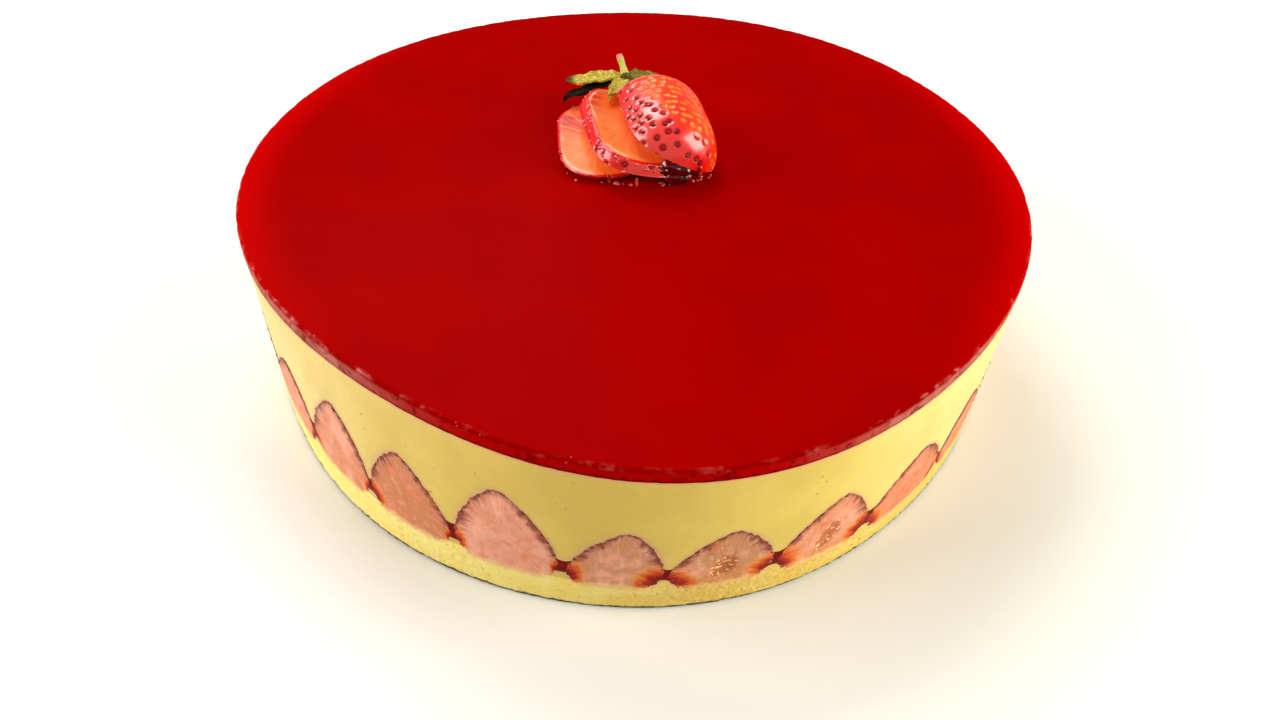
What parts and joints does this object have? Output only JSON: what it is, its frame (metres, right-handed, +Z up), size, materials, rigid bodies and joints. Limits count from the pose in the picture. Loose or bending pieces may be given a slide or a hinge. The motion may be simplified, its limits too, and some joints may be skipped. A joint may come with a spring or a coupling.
{
  "type": "fraisier cake",
  "caption": "Round fraisier cake: sponge foot, halved strawberries round the side, cream, red jelly top and a fanned sliced strawberry.",
  "frame": {"origin": "centre of the cake's foot, where it rests", "axes": "+Z up through the layers; the shown front, which the garnish's tips point to, faces -Y; +X to the right seen from the front"},
  "size_m": [0.2466, 0.2386, 0.0814],
  "materials": {
    "sponge": "matte, open crumb",
    "cream": "smooth satin",
    "berry": "moist cut fruit",
    "jelly": "glossy set jelly",
    "garnish": "glossy fresh fruit",
    "leaf": "matte leaf"
  },
  "bodies": {
    "root": {"sponge_base": "sponge", "cream": "cream", "jelly": "jelly", "berry_01": "berry", "berry_02": "berry", "berry_03": "berry", "berry_04": "berry", "berry_05": "berry", "berry_06": "berry", "berry_07": "berry", "berry_08": "berry", "berry_09": "berry", "berry_10": "berry", "berry_11": "berry", "berry_12": "berry", "berry_13": "berry", "berry_14": "berry", "berry_15": "berry", "berry_16": "berry", "berry_17": "berry", "berry_18": "berry", "berry_19": "berry", "berry_20": "berry", "berry_21": "berry", "berry_22": "berry", "berry_23": "berry", "berry_24": "berry", "berry_25": "berry", "garnish_slice_left": "garnish", "garnish_slice_middle": "garnish", "garnish_cap": "garnish", "calyx": "leaf"}
  },
  "joints": []
}
